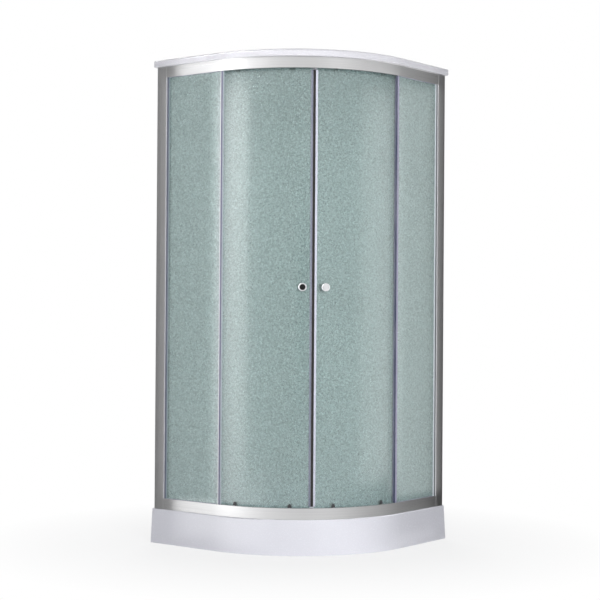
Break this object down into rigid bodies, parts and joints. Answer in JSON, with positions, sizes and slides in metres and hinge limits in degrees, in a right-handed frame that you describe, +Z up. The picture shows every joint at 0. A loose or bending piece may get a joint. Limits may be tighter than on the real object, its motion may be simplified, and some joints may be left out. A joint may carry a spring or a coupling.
{
  "type": "shower cabin",
  "caption": "Quarter-round shower cabin: white tray and roof, satin aluminium frame, flat fixed panels and curved sliding doors of textured glass with round chrome knobs.",
  "frame": {"origin": "on the floor, under the middle of the square footprint", "axes": "+Z is up; the rear walls face -X and +Y outwards; the rounded front points between +X and -Y"},
  "size_m": [0.9, 0.9, 2.063],
  "materials": {
    "tray_white": "smooth glossy sanitary acrylic",
    "roof_white": "smooth glossy moulded plastic",
    "wall_white": "smooth white sheet",
    "satin_aluminium": "satin anodised, drawn lengthwise",
    "textured_glass": "frosted with a fine pebbled texture, faint green",
    "clear_seal": "translucent soft vinyl",
    "dark_rubber": "matt rubber",
    "magnet_dark": "matt magnetic rubber",
    "chrome": "polished",
    "roller_plastic": "moulded, matt",
    "wheel_plastic": "moulded acetal",
    "zinc_steel": "zinc plated",
    "black_plastic": "moulded, matt",
    "trap_plastic": "moulded, matt"
  },
  "bodies": {
    "cabin": {"shower_tray": "tray_white", "roof_canopy": "roof_white", "rear_left_wall": "wall_white", "rear_right_wall": "wall_white", "bottom_rail": "satin_aluminium", "top_rail": "satin_aluminium", "rear_corner_column": "satin_aluminium", "left_post": "satin_aluminium", "right_post": "satin_aluminium", "left_fixed_glass": "textured_glass", "right_fixed_glass": "textured_glass", "left_post_gasket": "clear_seal", "left_fixed_seal": "clear_seal", "left_rail_gaskets": "clear_seal", "right_post_gasket": "clear_seal", "right_fixed_seal": "clear_seal", "right_rail_gaskets": "clear_seal", "door_stops": "dark_rubber", "drain_cover": "chrome", "mixer_body": "chrome", "mixer_unions": "chrome", "mixer_rosettes": "chrome", "riser_pipe": "chrome", "riser_brackets": "chrome", "support_bars": "zinc_steel", "threaded_legs": "zinc_steel", "leg_lock_nuts": "zinc_steel", "wall_screws": "zinc_steel", "foot_pads": "black_plastic", "drain_trap": "trap_plastic", "drain_flange": "trap_plastic"},
    "left_door": {"left_door_glass": "textured_glass", "left_outer_knob": "chrome", "left_inner_knob": "black_plastic", "left_knob_bolt": "zinc_steel", "left_magnet_strip": "magnet_dark", "left_magnet_profile": "clear_seal", "left_trailing_seal": "clear_seal", "left_roller_shoes": "roller_plastic"},
    "left_upper_lead_wheel": {"left_upper_lead_wheel": "wheel_plastic"},
    "left_lower_lead_wheel": {"left_lower_lead_wheel": "wheel_plastic"},
    "left_upper_trail_wheel": {"left_upper_trail_wheel": "wheel_plastic"},
    "left_lower_trail_wheel": {"left_lower_trail_wheel": "wheel_plastic"},
    "right_door": {"right_door_glass": "textured_glass", "right_outer_knob": "chrome", "right_inner_knob": "black_plastic", "right_knob_bolt": "zinc_steel", "right_magnet_strip": "magnet_dark", "right_magnet_profile": "clear_seal", "right_trailing_seal": "clear_seal", "right_roller_shoes": "roller_plastic"},
    "right_upper_lead_wheel": {"right_upper_lead_wheel": "wheel_plastic"},
    "right_lower_lead_wheel": {"right_lower_lead_wheel": "wheel_plastic"},
    "right_upper_trail_wheel": {"right_upper_trail_wheel": "wheel_plastic"},
    "right_lower_trail_wheel": {"right_lower_trail_wheel": "wheel_plastic"},
    "mixer_swivel": {"mixer_swivel": "chrome"},
    "mixer_lever": {"mixer_lever": "chrome"},
    "shower_head": {"shower_head": "chrome"}
  },
  "joints": [
    {"name": "left_door_travel", "type": "hinge", "parent": "cabin", "child": "left_door", "pos_m": [-0.142, 0.164, 1.072], "axis": [0, 0, -1], "range_deg": [0, 23]},
    {"name": "left_upper_lead_wheel_spin", "type": "hinge", "parent": "left_door", "child": "left_upper_lead_wheel", "pos_m": [0.193, -0.32158, 1.9933], "axis": [0.5707, -0.8211, 0], "range_deg": [0, 1150]},
    {"name": "left_lower_lead_wheel_spin", "type": "hinge", "parent": "left_door", "child": "left_lower_lead_wheel", "pos_m": [0.193, -0.32158, 0.1763], "axis": [0.5707, -0.8211, 0], "range_deg": [0, 1150]},
    {"name": "left_upper_trail_wheel_spin", "type": "hinge", "parent": "left_door", "child": "left_upper_trail_wheel", "pos_m": [-0.02855, -0.4084, 1.9933], "axis": [0.1392, -0.9903, 0], "range_deg": [0, 1150]},
    {"name": "left_lower_trail_wheel_spin", "type": "hinge", "parent": "left_door", "child": "left_lower_trail_wheel", "pos_m": [-0.02855, -0.4084, 0.1763], "axis": [0.1392, -0.9903, 0], "range_deg": [0, 1150]},
    {"name": "right_door_travel", "type": "hinge", "parent": "cabin", "child": "right_door", "pos_m": [-0.164, 0.142, 1.072], "axis": [0, 0, 1], "range_deg": [0, 23]},
    {"name": "right_upper_lead_wheel_spin", "type": "hinge", "parent": "right_door", "child": "right_upper_lead_wheel", "pos_m": [0.32158, -0.193, 1.9933], "axis": [-0.8211, 0.5707, 0], "range_deg": [0, 1150]},
    {"name": "right_lower_lead_wheel_spin", "type": "hinge", "parent": "right_door", "child": "right_lower_lead_wheel", "pos_m": [0.32158, -0.193, 0.1763], "axis": [-0.8211, 0.5707, 0], "range_deg": [0, 1150]},
    {"name": "right_upper_trail_wheel_spin", "type": "hinge", "parent": "right_door", "child": "right_upper_trail_wheel", "pos_m": [0.4084, 0.02855, 1.9933], "axis": [-0.9903, 0.1392, 0], "range_deg": [0, 1150]},
    {"name": "right_lower_trail_wheel_spin", "type": "hinge", "parent": "right_door", "child": "right_lower_trail_wheel", "pos_m": [0.4084, 0.02855, 0.1763], "axis": [-0.9903, 0.1392, 0], "range_deg": [0, 1150]},
    {"name": "mixer_temperature", "type": "hinge", "parent": "cabin", "child": "mixer_swivel", "pos_m": [-0.09, 0.3345, 1.05], "axis": [0, -1, 0], "range_deg": [-40, 40]},
    {"name": "mixer_flow", "type": "hinge", "parent": "mixer_swivel", "child": "mixer_lever", "pos_m": [-0.09, 0.3082, 1.05], "axis": [-1, 0, 0], "range_deg": [0, 25]},
    {"name": "shower_head_tilt", "type": "hinge", "parent": "cabin", "child": "shower_head", "pos_m": [-0.09, 0.1205, 1.87], "axis": [1, 0, 0], "range_deg": [-15, 15]}
  ],
  "couplings": [
    {"joint": "left_upper_lead_wheel_spin", "follows": "left_door_travel", "ratio": 49.161},
    {"joint": "left_lower_lead_wheel_spin", "follows": "left_door_travel", "ratio": 49.161},
    {"joint": "left_upper_trail_wheel_spin", "follows": "left_door_travel", "ratio": 48.628},
    {"joint": "left_lower_trail_wheel_spin", "follows": "left_door_travel", "ratio": 48.628},
    {"joint": "right_upper_lead_wheel_spin", "follows": "right_door_travel", "ratio": 49.161},
    {"joint": "right_lower_lead_wheel_spin", "follows": "right_door_travel", "ratio": 49.161},
    {"joint": "right_upper_trail_wheel_spin", "follows": "right_door_travel", "ratio": 48.628},
    {"joint": "right_lower_trail_wheel_spin", "follows": "right_door_travel", "ratio": 48.628}
  ]
}
